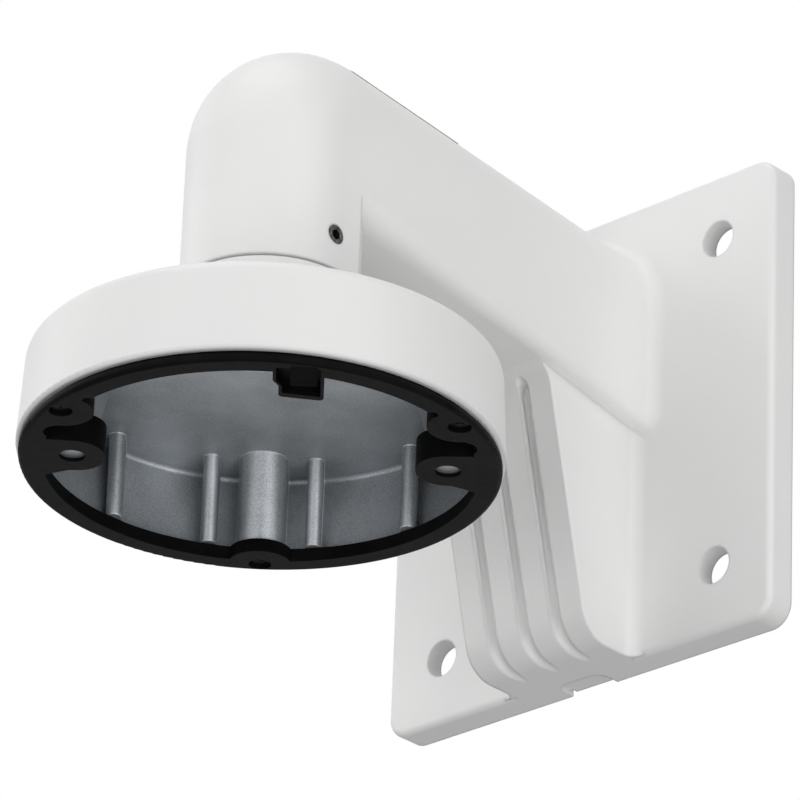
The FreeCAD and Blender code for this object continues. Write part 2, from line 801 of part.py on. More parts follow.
def draw_wall_boss(sketch, middle, radius, back):
    """A boss seen from below: round towards the cup's axis, straight back to the wall."""
    centre = Vector(value(middle), 0, 0)
    size = value(radius)
    rear = value(back)
    circle = Part.Circle(centre, Vector(0, 0, 1), size)
    arc = sketch.addGeometry(Part.ArcOfCircle(circle, -math.pi / 2, math.pi / 2), False)
    top = Vector(centre.x, size, 0)
    low = Vector(centre.x, -size, 0)
    upper = sketch.addGeometry(Part.LineSegment(top, Vector(rear, size, 0)), False)
    rear_line = sketch.addGeometry(
        Part.LineSegment(Vector(rear, size, 0), Vector(rear, -size, 0)), False
    )
    lower = sketch.addGeometry(Part.LineSegment(Vector(rear, -size, 0), low), False)
    sketch.addConstraint(Sketcher.Constraint("Tangent", arc, 2, upper, 1))
    sketch.addConstraint(Sketcher.Constraint("Coincident", upper, 2, rear_line, 1))
    sketch.addConstraint(Sketcher.Constraint("Coincident", rear_line, 2, lower, 1))
    sketch.addConstraint(Sketcher.Constraint("Tangent", lower, 2, arc, 1))
    sketch.addConstraint(Sketcher.Constraint("Horizontal", upper))
    sketch.addConstraint(Sketcher.Constraint("Vertical", rear_line))
    fix_point(sketch, arc, 3, middle, "0")
    fix_radius(sketch, arc, radius)
    number = sketch.addConstraint(Sketcher.Constraint("DistanceX", -1, 1, rear_line, 1, rear))
    bind(sketch, f"Constraints[{number}]", back)


def make_cup_ribs(body):
    """Four ribs on the side away from the catch, with round noses that lean back."""
    number = 0
    for offset, top, foot in (
        ("rib_inner_offset", "rib_inner_top", "rib_inner_foot"),
        ("rib_outer_offset", "rib_outer_top", "rib_outer_foot"),
    ):
        back = f"-sqrt(({CUP_INSIDE} + wall_bite) ^ 2 - ({offset} + rib_width / 2) ^ 2)"
        for side in ("", "-"):
            number += 1
            sections = []
            for end, nose, height in (
                ("top", top, "cup_ceiling + overlap"),
                ("foot", foot, RIB_FOOT),
            ):
                section = new_sketch(
                    body, f"rib_{number}_{end}", "XY_Plane", ("0", f"{side}{offset}", height)
                )
                draw_wall_boss(section, f"-{nose} - rib_width / 2", "rib_width / 2", back)
                sections.append(section)
            loft(body, "AdditiveLoft", *sections)


def make_cup_bosses(body):
    half = "boss_width / 2"
    back = f"-sqrt(({CUP_INSIDE} + wall_bite) ^ 2 - ({half}) ^ 2)"
    top = new_sketch(body, "boss_top", "XY_Plane", ("0", "0", "cup_ceiling + overlap"))
    draw_wall_boss(top, f"-boss_top_reach - {half}", half, back)
    foot = new_sketch(body, "boss_foot", "XY_Plane", ("0", "0", RIB_FOOT))
    draw_wall_boss(foot, f"-boss_foot_reach - {half}", half, back)
    boss = loft(body, "AdditiveLoft", top, foot)
    repeat_round(body, boss, 3)
    pilot = new_sketch(body, "pilot", "XY_Plane", ("0", "0", RIB_FOOT))
    draw_circle(pilot, "-ring_screw_circle / 2", "0", "pilot_hole / 2")
    hole = extrude(body, "Pocket", pilot, "pilot_depth", flip=True)
    repeat_round(body, hole, 3)


def draw_wall_block(sketch, start, reach):
    """The space between a straight face at y = reach and the wall, from x = start."""
    x = value(start)
    y = value(reach)
    radius = value(f"{CUP_INSIDE} + wall_bite")
    side = 1 if y > 0 else -1
    far = Vector(math.sqrt(radius ** 2 - y ** 2), y, 0)
    back = Vector(x, side * math.sqrt(radius ** 2 - x ** 2), 0)
    bend = Vector(radius * math.cos(math.pi / 3), side * radius * math.sin(math.pi / 3), 0)
    near = Vector(x, y, 0)
    face = sketch.addGeometry(Part.LineSegment(near, far), False)
    arc = sketch.addGeometry(Part.Arc(far, bend, back), False)
    end = sketch.addGeometry(Part.LineSegment(back, near), False)
    at_start = sketch.getPoint(arc, 1).distanceToPoint(far) < SMALL
    arc_in, arc_out = (1, 2) if at_start else (2, 1)
    sketch.addConstraint(Sketcher.Constraint("Coincident", face, 2, arc, arc_in))
    sketch.addConstraint(Sketcher.Constraint("Coincident", arc, arc_out, end, 1))
    sketch.addConstraint(Sketcher.Constraint("Coincident", end, 2, face, 1))
    sketch.addConstraint(Sketcher.Constraint("Horizontal", face))
    sketch.addConstraint(Sketcher.Constraint("Vertical", end))
    fix_point(sketch, face, 1, start, reach)
    fix_point(sketch, arc, 3, "0", "0")
    fix_radius(sketch, arc, f"{CUP_INSIDE} + wall_bite")


def make_side_blocks(body):
    """The two straight-faced blocks in the cup's sides, each with the pin for a tab."""
    for name, side in (("left", "-"), ("right", "")):
        sections = []
        for end, reach, height in (
            ("top", "block_top_reach", "cup_ceiling + overlap"),
            ("foot", "block_foot_reach", "tab_top + fit_clearance"),
        ):
            section = new_sketch(
                body, f"block_{name}_{end}", "XY_Plane", ("0", "0", height)
            )
            draw_wall_block(section, "block_start", side + reach)
            sections.append(section)
        loft(body, "AdditiveLoft", *sections)
        pin = new_sketch(
            body, f"pad_pin_{name}", "XY_Plane",
            ("0", "0", "ring_bottom + tab_skin + fit_clearance")
        )
        draw_circle(pin, "tab_shift", f"{side}tab_reach", "pad_pin / 2")
        extrude(body, "Pad", pin, "tab_top + overlap - ring_bottom - tab_skin")


def make_cup():
    body = new_body("cup")
    place_on_cup_axis(body)
    make_cup_shell(body)
    hole = new_sketch(
        body, "cable_hole", "XY_Plane", ("cable_edge", "0", "cup_ceiling - overlap"), spin=90
    )
    draw_segment(hole, "cable_edge", SPIGOT_BORE)
    extrude(body, "Pocket", hole, "cup_top - cup_ceiling + 2 * overlap", flip=True)
    make_cup_ribs(body)
    make_side_blocks(body)
    make_cup_bosses(body)
    return body


# The ring is one black moulding: a flanged hoop with three screw lobes, two tabs over
# the cup's pins, a slot beside each tab and a catch at the front.
def make_hoop(body):
    profile = new_sketch(body, "hoop_profile", "XZ_Plane")
    outside = "ring_diameter / 2"
    register = f"{CUP_INSIDE} - fit_clearance"
    shoulder = "ring_bottom + ring_flange"
    draw_outline(profile, [
        ("ring_bore / 2", "ring_bottom"),
        (outside, "ring_bottom", "ring_edge_round"),
        (outside, shoulder),
        ("ring_neck_diameter / 2", shoulder),
        ("ring_neck_diameter / 2", "cup_rim"),
        (register, "cup_rim"),
        (register, "ring_top"),
        ("ring_bore / 2", "ring_top"),
    ])
    turn(body, "Revolution", profile, "V_Axis", "360 deg")


def make_lobes(body):
    lobe = new_sketch(body, "lobe", "XY_Plane", ("0", "0", "ring_bottom"))
    centre = "-ring_screw_circle / 2"
    draw_wall_boss(lobe, centre, "lobe_radius", f"{centre} - fit_clearance")
    pad = extrude(body, "Pad", lobe, "ring_top - ring_bottom")
    repeat_round(body, pad, 3)


def make_tabs(body):
    for name, side in (("left", "-"), ("right", "")):
        tab = new_sketch(body, f"tab_{name}", "XY_Plane", ("0", "0", "ring_bottom"))
        half = "tab_width / 2"
        inner = f"{side}(tab_reach - {half})"
        root = f"{side}(ring_bore / 2 + overlap)"
        draw_outline(tab, [
            (f"tab_shift - {half} - tab_flare", root),
            (f"tab_shift - {half}", f"{side}(tab_reach + overlap)", "tab_flare"),
            (f"tab_shift - {half}", inner, "tab_nose"),
            (f"tab_shift + {half}", inner, "tab_nose"),
            ("slot_shift - slot_width / 2", root),
        ])
        extrude(body, "Pad", tab, "tab_top - ring_bottom")


def make_ring_cuts(body):
    for name, side in (("left", "-"), ("right", "")):
        slot = new_sketch(body, f"slot_{name}", "XY_Plane", ("0", "0", "ring_bottom - overlap"))
        mouth = f"{side}(tab_reach - tab_width / 2 - overlap)"
        end = f"{side}slot_end"
        left = "slot_shift - slot_width / 2"
        right = "slot_shift + slot_width / 2"
        draw_outline(slot, [
            (left, mouth),
            (left, end, "slot_nose"),
            (right, end, "slot_nose"),
            (right, mouth),
        ])
        extrude(body, "Pocket", slot, "tab_top - ring_bottom + 2 * overlap", flip=True)
        pocket = new_sketch(
            body, f"tab_pocket_{name}", "XY_Plane", ("0", "0", "ring_bottom + tab_skin")
        )
        draw_circle(pocket, "tab_shift", f"{side}tab_reach", "pad_pin / 2 + fit_clearance")
        extrude(body, "Pocket", pocket, "tab_top - ring_bottom", flip=True)
        hole = new_sketch(body, f"tab_hole_{name}", "XY_Plane", ("0", "0", "ring_bottom"))
        draw_circle(hole, "tab_shift", f"{side}tab_reach", "tab_hole / 2")
        extrude(body, "Pocket", hole, "tab_skin + overlap", flip=True)
        notch = new_sketch(body, f"notch_{name}", "XY_Plane", ("0", "0", "ring_bottom"))
        draw_circle(
            notch, "ring_bore / 2 * cos(notch_angle * 1 deg)",
            f"{side}ring_bore / 2 * sin(notch_angle * 1 deg)", "notch_radius"
        )
        extrude(body, "Pocket", notch, "ring_top - ring_bottom + overlap", flip=True)
    sink = new_sketch(body, "sink", "XY_Plane", ("0", "0", "ring_bottom"))
    draw_circle(sink, "-ring_screw_circle / 2", "0", "counterbore / 2")
    repeat_round(body, extrude(body, "Pocket", sink, "counterbore_depth", flip=True), 3)
    shank = new_sketch(body, "shank_hole", "XY_Plane", ("0", "0", "ring_bottom"))
    draw_circle(shank, "-ring_screw_circle / 2", "0", "ring_screw_hole / 2")
    hole = extrude(body, "Pocket", shank, "ring_top - ring_bottom + overlap", flip=True)
    repeat_round(body, hole, 3)


def make_catch(body):
    """The catch's block, wider on one side at its root, with a window round its tongue."""
    block = new_sketch(body, "catch_block", "XY_Plane", ("0", "0", "ring_bottom"))
    low = "catch_shift - catch_width / 2"
    high = "catch_shift + catch_width / 2"
    root = "ring_bore / 2 + overlap"
    draw_outline(block, [
        ("catch_end", low, "catch_corner"),
        ("catch_step_reach - catch_step", low),
        ("catch_step_reach + catch_step", f"{low} - catch_step"),
        (root, f"{low} - catch_step"),
        (root, high),
        ("catch_end - catch_end_slant", high, "catch_corner"),
    ])
    extrude(body, "Pad", block, "catch_top - ring_bottom")
    window = new_sketch(body, "catch_window", "XY_Plane", ("0", "0", "ring_bottom"))
    inside = "tongue_root - overlap"
    draw_outline(window, [
        ("catch_end + catch_end_wall", f"{low} + catch_skin"),
        ("catch_step_reach - catch_step", f"{low} + catch_skin"),
        ("catch_step_reach + catch_step", f"{low} - catch_step + catch_skin"),
        (inside, f"{low} - catch_step + catch_skin"),
        (inside, f"{high} - catch_skin"),
        ("catch_end - catch_end_slant + catch_end_wall", f"{high} - catch_skin"),
    ])
    extrude(body, "Pocket", window, "ring_top - ring_bottom - catch_skin", flip=True)
    tongue = new_sketch(
        body, "tongue_side", "XZ_Plane", ("0", "0", "-catch_shift - tongue_shift")
    )
    draw_outline(tongue, [
        ("tongue_root", "ring_bottom"),
        ("tongue_end", "ring_bottom - tongue_drop"),
        ("tongue_end", "ring_bottom - tongue_drop + tongue_thickness"),
        ("tongue_root", "ring_bottom + tongue_thickness"),
    ])
    extrude(body, "Pad", tongue, "tongue_width", middle=True)


def make_ring():
    body = new_body("ring")
    place_on_cup_axis(body)
    make_hoop(body)
    make_lobes(body)
    make_tabs(body)
    make_ring_cuts(body)
    make_catch(body)
    return body


# Steel set screw in the hub's boss: it locks the cup's threaded spigot.
def make_set_screw():
    rod = doc.addObject("Part::Cylinder", "set_screw_rod")
    bind(rod, "Radius", "screw_diameter / 2")
    bind(rod, "Height", "screw_length")
    socket = doc.addObject("Part::Prism", "set_screw_socket")
    socket.Polygon = 6
    bind(socket, "Circumradius", "screw_socket / sqrt(3)")
    bind(socket, "Height", "screw_length / 2")
    bind(socket, "Placement.Base.z", "screw_length / 2")
    screw = doc.addObject("Part::Cut", "set_screw")
    screw.Label = "set_screw"
    screw.Base = rod
    screw.Tool = socket
    start = f"{HUB_BORE} - thread_clearance / 2"
    screw.Placement = Placement(
        Vector(value(start), -value("reach"), value("screw_height")),
        Rotation(Vector(0, 1, 0), 90)
    )
    bind(screw, "Placement.Base.x", start)
    bind(screw, "Placement.Base.y", "-reach")
    bind(screw, "Placement.Base.z", "screw_height")
    return screw


# Three small cross-head screws that hold the ring to the cup's bosses, sunk in the lobes.
# Each was driven home to its own angle, in degrees.
CROSS_TURNS = (20, 55, 90)


def make_ring_screws():
    fused = []
    for number in range(len(CROSS_TURNS)):
        head = doc.addObject("Part::Cylinder", f"screw_head_{number}")
        bind(head, "Radius", "ring_screw_head / 2")
        bind(head, "Height", "ring_screw_head_height")
        shank = doc.addObject("Part::Cylinder", f"screw_shank_{number}")
        bind(shank, "Radius", "ring_screw / 2")
        bind(shank, "Height", "ring_screw_length")
        bind(shank, "Placement.Base.z", "ring_screw_head_height / 2")
        solid = doc.addObject("Part::Fuse", f"screw_solid_{number}")
        solid.Base = head
        solid.Tool = shank
        bars = []
        for turned in (0, 90):
            bar = doc.addObject("Part::Box", f"screw_cross_{number}_{turned}")
            bind(bar, "Length", "ring_screw_cross_length")
            bind(bar, "Width", "ring_screw_cross")
            bind(bar, "Height", "ring_screw_cross_depth")
            spin = Rotation(Vector(0, 0, 1), turned)
            corner = Vector(
                -value("ring_screw_cross_length / 2"), -value("ring_screw_cross / 2"), 0
            )
            bar.Placement = Placement(spin.multVec(corner), spin)
            bars.append(bar)
        cross = doc.addObject("Part::Fuse", f"screw_cross_{number}")
        cross.Base, cross.Tool = bars
        screw = doc.addObject("Part::Cut", f"ring_screw_{number}")
        screw.Base = solid
        screw.Tool = cross
        angle = math.radians(180 + 120 * number - value("clocking"))
        circle = value("ring_screw_circle / 2")
        seat = value(f"{SCREW_SEAT} - ring_screw_head_height")
        screw.Placement = Placement(
            Vector(circle * math.cos(angle), circle * math.sin(angle) - value("reach"), seat),
            Rotation(Vector(0, 0, 1), CROSS_TURNS[number])
        )
        fused.append(screw)
    group = doc.addObject("Part::Compound", "ring_screws")
    group.Label = "ring_screws"
    group.Links = fused
    return group


pieces = [make_casting(), make_cup(), make_ring(), make_set_screw(), make_ring_screws()]
doc.recompute()

for item in doc.Objects:
    states = set(item.State) & {"Invalid", "Error"}
    if states:
        raise RuntimeError(f"{item.Name}: {states}")
os.makedirs("parts", exist_ok=True)
for piece in pieces:
    if piece.Shape.isNull() or not piece.Shape.isValid():
        raise RuntimeError(f"{piece.Label} has no valid shape")
for piece in pieces:
    piece.Shape.exportStep(f"parts/{piece.Label}.step")
    box = piece.Shape.BoundBox
    print(
        f"{piece.Label}: {len(piece.Shape.Solids)} solid, {piece.Shape.Volume / 1000:.1f} cm3, "
        f"x {box.XMin:.1f} {box.XMax:.1f}, y {box.YMin:.1f} {box.YMax:.1f}, "
        f"z {box.ZMin:.1f} {box.ZMax:.1f}"
    )
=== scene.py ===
import json
import math

import bpy
import numpy as np
from mathutils import Matrix, Vector


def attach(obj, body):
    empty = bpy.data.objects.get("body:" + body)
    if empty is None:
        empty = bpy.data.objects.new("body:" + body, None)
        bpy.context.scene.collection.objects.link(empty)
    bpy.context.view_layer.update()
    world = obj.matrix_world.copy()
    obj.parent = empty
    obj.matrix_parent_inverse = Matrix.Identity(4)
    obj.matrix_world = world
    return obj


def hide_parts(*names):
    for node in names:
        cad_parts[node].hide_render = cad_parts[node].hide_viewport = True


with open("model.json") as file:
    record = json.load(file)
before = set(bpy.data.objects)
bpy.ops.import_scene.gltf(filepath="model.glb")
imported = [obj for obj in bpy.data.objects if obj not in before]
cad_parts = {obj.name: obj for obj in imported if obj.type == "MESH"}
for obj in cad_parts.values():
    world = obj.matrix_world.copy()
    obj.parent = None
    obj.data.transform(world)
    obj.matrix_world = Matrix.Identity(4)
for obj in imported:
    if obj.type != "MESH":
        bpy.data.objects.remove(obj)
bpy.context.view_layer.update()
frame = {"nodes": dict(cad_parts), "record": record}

nodes = frame["nodes"]


# The bracket casting is wall plate, fluted gusset, hollow arm and hub in one aluminium die
# casting, powder coated in a satin white with a faint orange peel. Low bosses behind its
# wall holes let light through from below, and its three flutes are deepest at the top.
MOUNT_SIZES = {mount["name"]: mount["dims"] for mount in frame["record"]["mounts"]}
HOLE_MIDDLE = MOUNT_SIZES["wall_holes"]["spacing_x_mm"] / 2 / 1000
BOSS_RADIUS = 0.0095
BOSS_BACK = -0.0033
BACK_PLANE = -0.00001
# The belly's front reaches further from the wall at mid height than at the plate's foot.
PLATE_HALF = 0.065
BELLY_REACH = 0.0422
BELLY_FOOT_REACH = 0.0263
BELLY_LEAN = (BELLY_REACH - BELLY_FOOT_REACH) / PLATE_HALF
FLUTE_PITCH = 0.01075
FLUTE_HALF = 0.00176
FLUTE_DEPTH = 0.0014
FLUTE_FOOT = -0.050
FLUTE_HEAD = 0.003
FLUTE_GAIN = 0.7
MICROMETRES_IN_METRE = 1e6
# The coat's colours and gloss, its rounded edges, and its noise in cells to the metre.
COAT_WHITE = (0.84, 0.838, 0.832, 1)
COAT_SHADE = (0.815, 0.815, 0.812, 1)
COAT_BLEND = (0.3, 0.7)
COAT_ROUGHNESS = (0.36, 0.48)
COAT_SPECULAR = 0.45
COAT_EDGE = 0.0012
EDGE_SAMPLES = 6
CLOUD_CELLS = 26
GLOSS_CELLS = 90
PEEL_CELLS = 420
PEEL_STRENGTH = 0.12
PEEL_HEIGHT = 0.0003
GRAIN_CELLS = 2600
GRAIN_STRENGTH = 0.06
GRAIN_HEIGHT = 0.0001


def merged_mesh(node):
    """A node's points, triangles and corner normals, with its doubled points merged: points
    that agree to a micrometre become one, and each corner keeps the normal that it had. A
    triangle with two corners on one point is left out."""
    source = node.data
    points = np.empty(len(source.vertices) * 3)
    source.vertices.foreach_get("co", points)
    corners = np.empty(len(source.loops), int)
    source.loops.foreach_get("vertex_index", corners)
    normals = np.empty(len(source.loops) * 3)
    source.corner_normals.foreach_get("vector", normals)
    points = points.reshape(-1, 3)
    near = np.round(points * MICROMETRES_IN_METRE).astype(int)
    first, place = np.unique(near, axis=0, return_index=True, return_inverse=True)[1:]
    triangles = place.reshape(-1)[corners].reshape(-1, 3)
    whole = (triangles != np.roll(triangles, 1, axis=1)).all(1)
    return points[first], triangles[whole], normals.reshape(-1, 3, 3)[whole]


def lower_bosses(points):
    """Moves the back end of each wall hole's boss forward of the back plane: the points
    on that plane within the boss's radius of the hole's axis."""
    off_x = np.abs(points[:, 0]) - HOLE_MIDDLE
    off_z = np.abs(points[:, 2]) - HOLE_MIDDLE
    behind = (np.hypot(off_x, off_z) < BOSS_RADIUS) & (points[:, 1] > BACK_PLANE)
    points[behind, 1] = BOSS_BACK


def deepen_flutes(points, triangles, normals):
    """Multiplies the flutes' depth below the belly's sloping front by a factor that grows
    evenly from 1 at their foot to the most at their head. The normals turn with it: their
    part along the slope's own normal is divided by the same factor."""
    slope = np.array([0, -1, -BELLY_LEAN]) / math.hypot(1, BELLY_LEAN)
    depth = -(points + np.array([0, BELLY_REACH, 0])) @ slope
    across = np.abs(points[:, 0])
    across = np.minimum(across, np.abs(across - FLUTE_PITCH))
    rise = (points[:, 2] - FLUTE_FOOT) / (FLUTE_HEAD - FLUTE_FOOT)
    inside = (across < FLUTE_HALF) & (np.abs(depth) < FLUTE_DEPTH) & (rise > 0) & (rise < 1)
    factor = np.where(inside, 1 + FLUTE_GAIN * rise, 1)
    cut = np.where(inside, np.maximum(depth, 0), 0) * (factor - 1)
    points -= cut[:, None] * slope
    along = normals @ slope
    change = along * (1 / factor[triangles] - 1)
    normals += change[:, :, None] * slope
    normals /= np.linalg.norm(normals, axis=2, keepdims=True)


def make_casting():
    """The casting node's mesh, merged, with its bosses lowered and its flutes deepened."""
    points, triangles, normals = merged_mesh(nodes["arm_casting"])
    lower_bosses(points)
    deepen_flutes(points, triangles, normals)
    mesh = bpy.data.meshes.new("bracket_casting")
    mesh.from_pydata(points.tolist(), [], triangles.tolist())
    mesh.shade_smooth()
    mesh.normals_split_custom_set(normals.reshape(-1, 3).tolist())
    mesh.materials.append(coat_casting())
    casting = bpy.data.objects.new("bracket_casting", mesh)
    bpy.context.scene.collection.objects.link(casting)
    return casting


def new_material(name):
    """A material with only a Principled shader and its output, its node tree, and that
    shader."""
    material = bpy.data.materials.new(name)
    material.use_nodes = True
    tree = material.node_tree
    return material, tree, tree.nodes["Principled BSDF"]


def set_sockets(tree, node, given):
    """Gives a node's inputs, each found by its name or number, their values or links."""
    for key, value in given.items():
        if isinstance(value, bpy.types.NodeSocket):
            tree.links.new(value, node.inputs[key])
        else:
            node.inputs[key].default_value = value


def add_node(tree, kind, given):
    """A new node of one kind, with values or links for its inputs."""
    node = tree.nodes.new(kind)
    set_sockets(tree, node, given)
    return node


def add_noise(tree, cells, detail=2.0, roughness=0.5):
    """Noise over the object's own coordinates, with so many cells in a metre."""
    place = tree.nodes.new("ShaderNodeTexCoord").outputs["Object"]
    noise = add_node(tree, "ShaderNodeTexNoise", {
        "Vector": place, "Scale": cells, "Detail": detail, "Roughness": roughness
    })
    return noise.outputs["Fac"]


def add_ramp(tree, share, blend, first, second):
    """A colour that runs from first to second while share goes through the blend's range."""
    ramp = add_node(tree, "ShaderNodeValToRGB", {"Fac": share})
    for end, place, colour in zip(ramp.color_ramp.elements, blend, (first, second)):
        end.position = place
        end.color = colour
    return ramp.outputs["Color"]


def add_range(tree, share, low, high):
    """Maps 0 to 1 onto low to high."""
    spread = add_node(tree, "ShaderNodeMapRange", {"Value": share, "To Min": low, "To Max": high})
    return spread.outputs["Result"]


def add_soft_edge(tree, radius):
    """The surface's normal, turned over each sharp edge as if it were rounded."""
    edge = add_node(tree, "ShaderNodeBevel", {"Radius": radius})
    edge.samples = EDGE_SAMPLES
    return edge.outputs["Normal"]


def add_bump(tree, pattern, strength, height, normal):
    """A normal tilted further by a pattern that stands up to height above the surface."""
    bump = add_node(tree, "ShaderNodeBump", {
        "Height": pattern, "Strength": strength, "Distance": height, "Normal": normal
    })
    return bump.outputs["Normal"]


def powder_coat(tree, edge):
    """The coat's colour, roughness and normal, as sockets, with edges as round as given."""
    clouds = add_noise(tree, CLOUD_CELLS, detail=3.0)
    colour = add_ramp(tree, clouds, COAT_BLEND, COAT_SHADE, COAT_WHITE)
    roughness = add_range(tree, add_noise(tree, GLOSS_CELLS), *COAT_ROUGHNESS)
    peel = add_noise(tree, PEEL_CELLS, detail=1.5)
    grain = add_noise(tree, GRAIN_CELLS, detail=1.0)
    fine = add_bump(tree, grain, GRAIN_STRENGTH, GRAIN_HEIGHT, add_soft_edge(tree, edge))
    return colour, roughness, add_bump(tree, peel, PEEL_STRENGTH, PEEL_HEIGHT, fine)


def coat_casting():
    """The coat over the whole casting, inside and out."""
    material, tree, shader = new_material("white_powder_coat")
    colour, roughness, normal = powder_coat(tree, COAT_EDGE)
    set_sockets(tree, shader, {
        "Base Color": colour, "Roughness": roughness, "Normal": normal,
        "Specular IOR Level": COAT_SPECULAR
    })
    return material


casting = make_casting()
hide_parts("arm_casting")
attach(casting, "root")


# The label is a thin bare plate of pale gold foil, bent over the top of the arm behind
# the bend and glued down. From below only its edge shows on the arm's outline.
LABEL_START = -0.1126
LABEL_END = -0.0736
LABEL_HALF_ANGLE = math.radians(37.5)
LABEL_THICKNESS = 0.00028
LABEL_GLUE = 0.00004
LABEL_ROWS = 20
LABEL_COLUMNS = 60
LABEL_GOLD = (0.20, 0.185, 0.12, 1)
LABEL_PALE_GOLD = (0.25, 0.23, 0.16, 1)
LABEL_BLEND = (0.3, 0.7)
LABEL_CELLS = 300
LABEL_ROUGHNESS = 0.4
# The arm's round top at its two ends: Y, the height of its axis, and its radius.
ARM_TIP = (-0.1153, 0.0444, 0.0225)
ARM_ROOT = (-0.0085, 0.0309, 0.0250)


def arm_top(y, angle, lift):
    """A point of the arm's round top: its axis height and radius run straight from tip to
    root, and angle turns from straight up towards +X."""
    share = (y - ARM_TIP[0]) / (ARM_ROOT[0] - ARM_TIP[0])
    height = ARM_TIP[1] + share * (ARM_ROOT[1] - ARM_TIP[1])
    radius = ARM_TIP[2] + share * (ARM_ROOT[2] - ARM_TIP[2]) + lift
    return np.stack([radius * np.sin(angle), y, height + radius * np.cos(angle)], -1)


def grid_mesh(name, points):
    """A mesh of quads over a grid of points (rows, columns, 3)."""
    rows, columns = points.shape[:2]
    index = np.arange(rows * columns).reshape(rows, columns)
    quads = np.stack([index[:-1, :-1], index[:-1, 1:], index[1:, 1:], index[1:, :-1]], -1)
    mesh = bpy.data.meshes.new(name)
    mesh.from_pydata(points.reshape(-1, 3).tolist(), [], quads.reshape(-1, 4).tolist())
    return mesh


def label_foil():
    """Dull foil with faint clouds of a paler gold."""
    material, tree, shader = new_material("pale_gold_foil")
    clouds = add_noise(tree, LABEL_CELLS)
    colour = add_ramp(tree, clouds, LABEL_BLEND, LABEL_GOLD, LABEL_PALE_GOLD)
    set_sockets(tree, shader, {"Base Color": colour, "Roughness": LABEL_ROUGHNESS})
    return material


def make_label():
    """A strip of the arm's top between two angles, given a thickness outwards."""
    y, angle = np.meshgrid(
        np.linspace(LABEL_START, LABEL_END, LABEL_ROWS),
        np.linspace(-LABEL_HALF_ANGLE, LABEL_HALF_ANGLE, LABEL_COLUMNS), indexing="ij"
    )
    mesh = grid_mesh("label", arm_top(y, angle, LABEL_GLUE))
    label = bpy.data.objects.new("label", mesh)
    bpy.context.scene.collection.objects.link(label)
    wall = label.modifiers.new("thickness", "SOLIDIFY")
    wall.thickness = LABEL_THICKNESS
    wall.offset = 1
    mesh.shade_smooth()
    mesh.materials.append(label_foil())
    return label


label = make_label()
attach(label, "root")


# The set screw is steel with a hexagon socket, sunk in the hub's side boss, where it locks
# the cup's spigot. Its colour is painted shade, near black for the shadow deep in its hole.
STEEL_DARK_PAINTED_SHADE = (0.035, 0.033, 0.031, 1)
STEEL_LIGHT_PAINTED_SHADE = (0.12, 0.115, 0.11, 1)
STEEL_ROUGHNESS = (0.28, 0.45)
STEEL_METALLIC = 0.9
STEEL_CELLS = 900
SCREW_BLEND = (0.35, 0.65)


def screw_metal(name, cells, dark, light, roughness, metallic):
    """Turned metal whose colour and roughness follow the same fine clouds."""
    material, tree, shader = new_material(name)
    clouds = add_noise(tree, cells, detail=3.0)
    set_sockets(tree, shader, {
        "Base Color": add_ramp(tree, clouds, SCREW_BLEND, dark, light),
        "Roughness": add_range(tree, clouds, *roughness),
        "Metallic": metallic
    })
    return material


# Its steel is painted near black, as the shade deep in its hole.
nodes["set_screw"].data.materials[0] = screw_metal(
    "set_screw_painted_shade_steel", STEEL_CELLS, STEEL_DARK_PAINTED_SHADE, STEEL_LIGHT_PAINTED_SHADE, STEEL_ROUGHNESS, STEEL_METALLIC
)


# The cup is a second die casting. It is masked and coated white outside only: inside,
# its ceiling, ribs and bosses are the bare metal as it left the die, a dull speckled
# grey, with a painted highlight in near white along their edges.
CUP_AXIS = (0, -0.1245)
BARE_RADIUS = 0.0576
BARE_HEIGHT = -0.0252
RIM_EDGE = 0.0004
METAL_DARK = (0.255, 0.27, 0.285, 1)
METAL_LIGHT = (0.43, 0.455, 0.48, 1)
METAL_PAINTED_HIGHLIGHT = (0.80, 0.81, 0.82, 1)
METAL_BLEND = (0.38, 0.62)
METAL_ROUGHNESS = 0.42
METAL_METALLIC = 0.55
METAL_EDGE = 0.0005
SPECKLE_CELLS = 2600
SPECKLE_SHARE = 0.6
SPECKLE_STRENGTH = 0.25
SPECKLE_HEIGHT = 0.0002
STAIN_CELLS = 60
STAIN_SHARE = 0.4
# Cosines of the rounded normal's turn at which the edges' painted highlight starts and is
# fullest.
PAINTED_HIGHLIGHT_STARTS = 0.99
PAINTED_HIGHLIGHT_FULL = 0.80
# Numbers of the Mix node's sockets for each kind: its two inputs and its result.
MIX_SOCKETS = {"FLOAT": (2, 3, 0), "VECTOR": (4, 5, 1), "RGBA": (6, 7, 2)}


def add_math(tree, kind, first, second):
    """The result of one operation on two values."""
    node = add_node(tree, "ShaderNodeMath", {0: first, 1: second})
    node.operation = kind
    return node.outputs[0]


def bare_inside(tree):
    """1 inside the cup's wall and below its ceiling, 0 outside."""
    place = tree.nodes.new("ShaderNodeTexCoord").outputs["Object"]
    axes = add_node(tree, "ShaderNodeSeparateXYZ", {"Vector": place}).outputs
    x = add_math(tree, "SUBTRACT", axes["X"], CUP_AXIS[0])
    y = add_math(tree, "SUBTRACT", axes["Y"], CUP_AXIS[1])
    x_squared = add_math(tree, "POWER", x, 2.0)
    y_squared = add_math(tree, "POWER", y, 2.0)
    distance_squared = add_math(tree, "ADD", x_squared, y_squared)
    near = add_math(tree, "LESS_THAN", distance_squared, BARE_RADIUS ** 2)
    low = add_math(tree, "LESS_THAN", axes["Z"], BARE_HEIGHT)
    return add_math(tree, "MULTIPLY", near, low)


def painted_highlight_mask(tree, rounded):
    """Where the painted highlight goes: 1 on an edge, 0 away, from the rounded normal's turn."""
    true = tree.nodes.new("ShaderNodeNewGeometry").outputs["Normal"]
    alike = add_node(tree, "ShaderNodeVectorMath", {0: rounded, 1: true})
    alike.operation = "DOT_PRODUCT"
    spread = add_node(tree, "ShaderNodeMapRange", {
        "Value": alike.outputs["Value"], "From Min": PAINTED_HIGHLIGHT_STARTS, "From Max": PAINTED_HIGHLIGHT_FULL
    })
    return spread.outputs["Result"]


